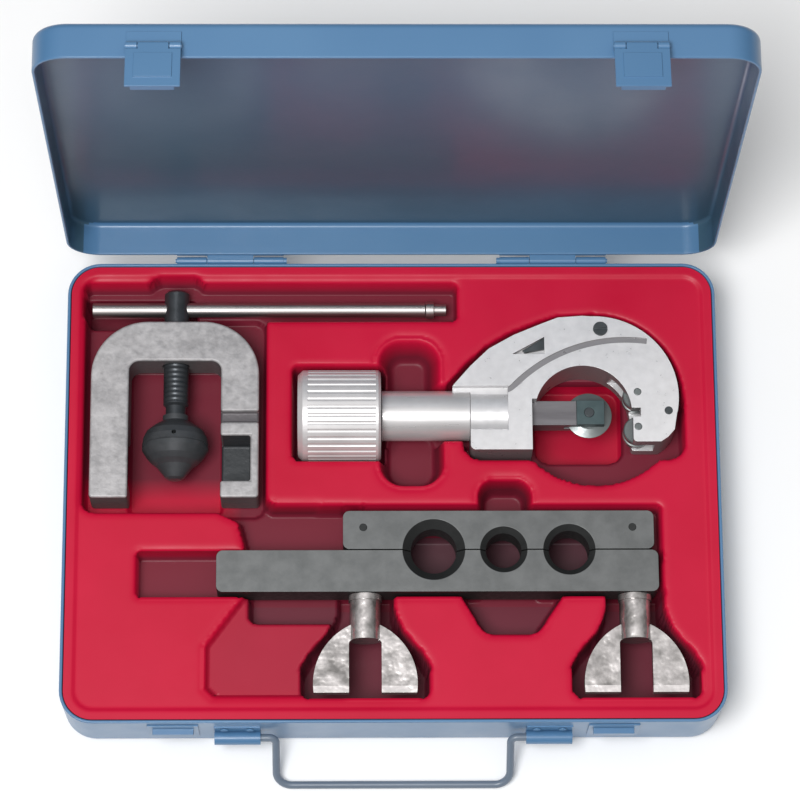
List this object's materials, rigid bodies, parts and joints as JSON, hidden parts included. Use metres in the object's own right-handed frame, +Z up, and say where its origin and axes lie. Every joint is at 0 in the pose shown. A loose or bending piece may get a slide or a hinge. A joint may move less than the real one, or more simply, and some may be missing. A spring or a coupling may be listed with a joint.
{
  "type": "flaring tool kit",
  "caption": "Tube flaring kit in an open hinged steel case: flaring yoke with cone, split die bar with wing screws, and tube cutter, lying in a formed red tray.",
  "frame": {"origin": "centre of the case's underside, on the surface it stands on", "axes": "+X to the right along the case, +Y to the rear where the hinges are, +Z up"},
  "size_m": [0.26, 0.2341, 0.2278],
  "materials": {
    "steel_grey": "hardened steel",
    "handle_paint": "blue grey enamel",
    "case_paint": "semi-gloss blue enamel",
    "bright_plate": "bright zinc plate",
    "tray_red": "satin, vacuum formed",
    "yoke_cast": "as-cast, zinc plated",
    "cutter_cast": "polished die casting",
    "dark_phosphate": "dark phosphate",
    "black_oxide": "black oxide",
    "chrome_bright": "bright nickel"
  },
  "bodies": {
    "case": {"base_pan": "case_paint", "tray_yoke_panel": "tray_red", "tray_cutter_panel": "tray_red", "tray_bar_panel": "tray_red", "tray_left_wing_panel": "tray_red", "tray_right_wing_panel": "tray_red", "base_hinge_leaves": "case_paint", "hinge_pins": "case_paint", "latch_keepers": "case_paint", "handle_brackets": "case_paint", "front_rivets": "case_paint"},
    "lid": {"lid_shell": "case_paint", "lid_hinge_leaves": "case_paint", "hasp_brackets": "case_paint", "hasp_pins": "case_paint"},
    "left_hasp": {"left_hasp": "case_paint"},
    "right_hasp": {"right_hasp": "case_paint"},
    "bail": {"bail_handle": "handle_paint"},
    "yoke": {"yoke_frame": "yoke_cast"},
    "cone": {"flare_cone": "black_oxide", "cone_pin": "black_oxide"},
    "feed_screw": {"feed_screw": "black_oxide"},
    "tommy_bar": {"tommy_bar": "chrome_bright", "tommy_collar": "chrome_bright"},
    "cutter": {"cutter_frame": "cutter_cast", "cutter_barrel": "cutter_cast", "roller_pins": "steel_grey", "reamer_screw": "black_oxide", "jaw_rivet": "black_oxide"},
    "knob": {"feed_knob": "cutter_cast", "knob_spindle": "black_oxide"},
    "wheel_slide": {"wheel_slide": "steel_grey", "wheel_axle": "black_oxide"},
    "cutting_wheel": {"cutting_wheel": "steel_grey"},
    "upper_roller": {"upper_roller": "steel_grey"},
    "lower_roller": {"lower_roller": "steel_grey"},
    "reamer": {"reamer_blade": "black_oxide"},
    "long_bar": {"long_bar": "dark_phosphate", "guide_pins": "bright_plate"},
    "short_bar": {"short_bar": "dark_phosphate", "jaw_pins": "black_oxide"},
    "left_wing_screw": {"left_clamp_screw": "bright_plate", "left_wing_head": "chrome_bright"},
    "right_wing_screw": {"right_clamp_screw": "bright_plate", "right_wing_head": "chrome_bright"}
  },
  "joints": [
    {"name": "lid_hinge", "type": "hinge", "parent": "case", "child": "lid", "pos_m": [0, 0.0957, 0.0313], "axis": [-1, 0, 0], "range_deg": [-92.5, 0]},
    {"name": "left_hasp_pivot", "type": "hinge", "parent": "lid", "child": "left_hasp", "pos_m": [-0.086, 0.10927, 0.22299], "axis": [-1, 0, 0], "range_deg": [-8, 92]},
    {"name": "right_hasp_pivot", "type": "hinge", "parent": "lid", "child": "right_hasp", "pos_m": [0.086, 0.10927, 0.22299], "axis": [-1, 0, 0], "range_deg": [-8, 92]},
    {"name": "bail_swing", "type": "hinge", "parent": "case", "child": "bail", "pos_m": [0, -0.0968, 0.017], "axis": [-1, 0, 0], "range_deg": [0, 130]},
    {"name": "yoke_lift", "type": "slide", "parent": "case", "child": "yoke", "axis": [0, 0, 1], "range_m": [0, 0.12]},
    {"name": "cone_feed", "type": "slide", "parent": "yoke", "child": "cone", "axis": [0, -1, 0], "range_m": [0, 0.00019444]},
    {"name": "handle_turn", "type": "hinge", "parent": "cone", "child": "feed_screw", "pos_m": [-0.0865, 0.0765, 0.026], "axis": [0, -1, 0], "range_deg": [0, 35.1]},
    {"name": "tommy_bar_slide", "type": "slide", "parent": "feed_screw", "child": "tommy_bar", "axis": [1, 0, 0], "range_m": [0, 0.0035]},
    {"name": "cutter_lift", "type": "slide", "parent": "case", "child": "cutter", "axis": [0, 0, 1], "range_m": [0, 0.12]},
    {"name": "knob_turn", "type": "hinge", "parent": "cutter", "child": "knob", "pos_m": [-0.02, 0.0316, 0.027], "axis": [-1, 0, 0], "range_deg": [0, 3120]},
    {"name": "wheel_feed", "type": "slide", "parent": "cutter", "child": "wheel_slide", "axis": [-1, 0, 0], "range_m": [0, 0.01301]},
    {"name": "wheel_spin", "type": "hinge", "parent": "wheel_slide", "child": "cutting_wheel", "pos_m": [0.0785, 0.0316, 0.027], "axis": [0, 0, 1], "continuous": true},
    {"name": "upper_roller_spin", "type": "hinge", "parent": "cutter", "child": "upper_roller", "pos_m": [0.0976, 0.0388, 0.027], "axis": [0, 0, 1], "continuous": true},
    {"name": "lower_roller_spin", "type": "hinge", "parent": "cutter", "child": "lower_roller", "pos_m": [0.0976, 0.0244, 0.027], "axis": [0, 0, 1], "continuous": true},
    {"name": "reamer_fold", "type": "hinge", "parent": "cutter", "child": "reamer", "pos_m": [0.0833, 0.065, 0.0342], "axis": [0, 0, -1], "range_deg": [0, 80]},
    {"name": "die_bar_lift", "type": "slide", "parent": "case", "child": "long_bar", "axis": [0, 0, 1], "range_m": [0, 0.12]},
    {"name": "left_wing_turn", "type": "hinge", "parent": "long_bar", "child": "left_wing_screw", "pos_m": [-0.011, -0.07, 0.028], "axis": [0, -1, 0], "range_deg": [0, 691.3]},
    {"name": "right_wing_turn", "type": "hinge", "parent": "long_bar", "child": "right_wing_screw", "pos_m": [0.095, -0.07, 0.028], "axis": [0, -1, 0], "range_deg": [0, 691.3]},
    {"name": "jaw_open", "type": "slide", "parent": "long_bar", "child": "short_bar", "axis": [0, 1, 0], "range_m": [0, 0.0024]}
  ],
  "couplings": [
    {"joint": "handle_turn", "follows": "cone_feed", "rad_per_m": 3141.6},
    {"joint": "wheel_feed", "follows": "knob_turn", "m_per_rad": 0.00023873},
    {"joint": "left_wing_turn", "follows": "jaw_open", "rad_per_m": 5026.5},
    {"joint": "right_wing_turn", "follows": "jaw_open", "rad_per_m": 5026.5}
  ]
}
